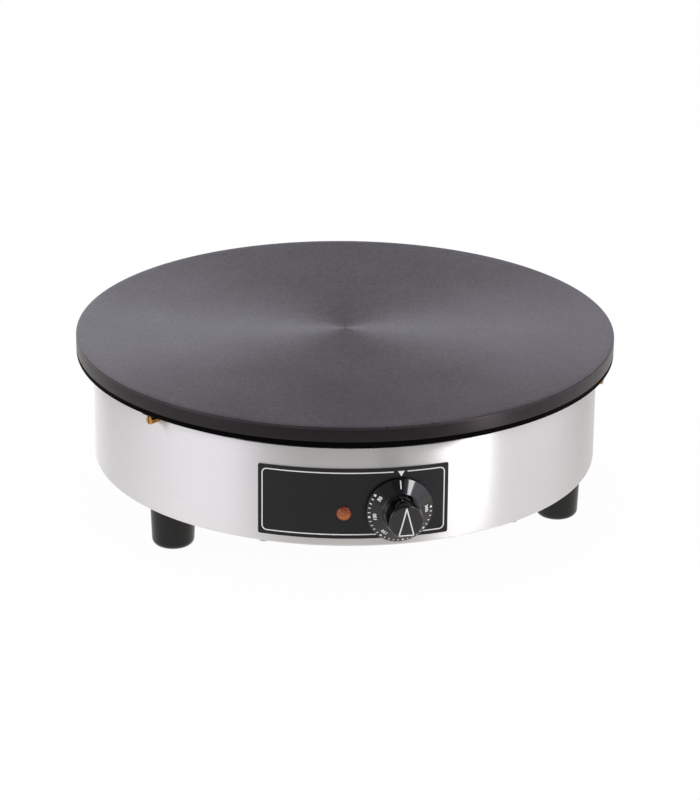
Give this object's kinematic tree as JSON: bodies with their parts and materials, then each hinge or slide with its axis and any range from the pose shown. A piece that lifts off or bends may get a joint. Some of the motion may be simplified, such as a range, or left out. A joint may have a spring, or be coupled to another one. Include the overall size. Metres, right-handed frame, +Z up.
{
  "type": "electric crepe maker",
  "caption": "Round electric crepe maker: flat cast-iron griddle on a brushed steel casing, three black feet, a temperature dial that turns and an amber pilot lamp.",
  "frame": {"origin": "on the floor under the middle of the griddle plate", "axes": "+Z up, the dial faces -Y, +X to the right seen from the front"},
  "size_m": [0.3999, 0.4224, 0.127],
  "materials": {
    "cast_iron": "turned, seasoned",
    "brushed_stainless": "brushed",
    "zinc_steel": "zinc plated",
    "aluminised_steel": "bright sheet",
    "brass": "machined",
    "foot_plastic": "moulded",
    "knob_plastic": "glossy phenolic",
    "panel_film": "satin film",
    "amber_lens": "translucent",
    "element_sheath": "heat darkened",
    "mineral_fibre": "pressed fibre",
    "ceramic": "unglazed steatite",
    "switch_plastic": "moulded",
    "copper": "drawn tube",
    "lead_silicone": "silicone sleeve",
    "gland_polyamide": "moulded",
    "seal_rubber": "moulded"
  },
  "bodies": {
    "appliance": {"griddle_plate": "cast_iron", "plate_screws": "brass", "plate_screw_washers": "brushed_stainless", "casing_shell": "brushed_stainless", "base_pan": "zinc_steel", "base_rivets": "zinc_steel", "feet": "foot_plastic", "foot_screws": "zinc_steel", "foot_nuts": "zinc_steel", "heating_element": "element_sheath", "element_clamps": "zinc_steel", "clamp_studs": "zinc_steel", "clamp_nuts": "zinc_steel", "reflector_tray": "aluminised_steel", "insulation_blanket": "mineral_fibre", "tray_posts": "zinc_steel", "thermostat_bracket": "zinc_steel", "thermostat_body": "switch_plastic", "thermostat_screws": "zinc_steel", "capillary_bulb": "copper", "bulb_clip": "aluminised_steel", "control_panel": "panel_film", "pilot_lamp": "amber_lens", "lamp_clip": "zinc_steel", "lamp_pins": "brass", "cable_gland": "gland_polyamide", "gland_nut": "gland_polyamide", "gland_seal": "seal_rubber", "gland_locknut": "gland_polyamide", "terminal_block": "ceramic", "earth_stud": "brass", "earth_nut": "brass", "live_lead": "lead_silicone", "switched_lead": "lead_silicone", "neutral_lead": "lead_silicone"},
    "dial": {"knob": "knob_plastic", "thermostat_shaft": "zinc_steel"}
  },
  "joints": [
    {"name": "dial_turn", "type": "hinge", "parent": "appliance", "child": "dial", "pos_m": [0, -0.2, 0.0595], "axis": [0, 1, 0], "range_deg": [0, 274]}
  ]
}
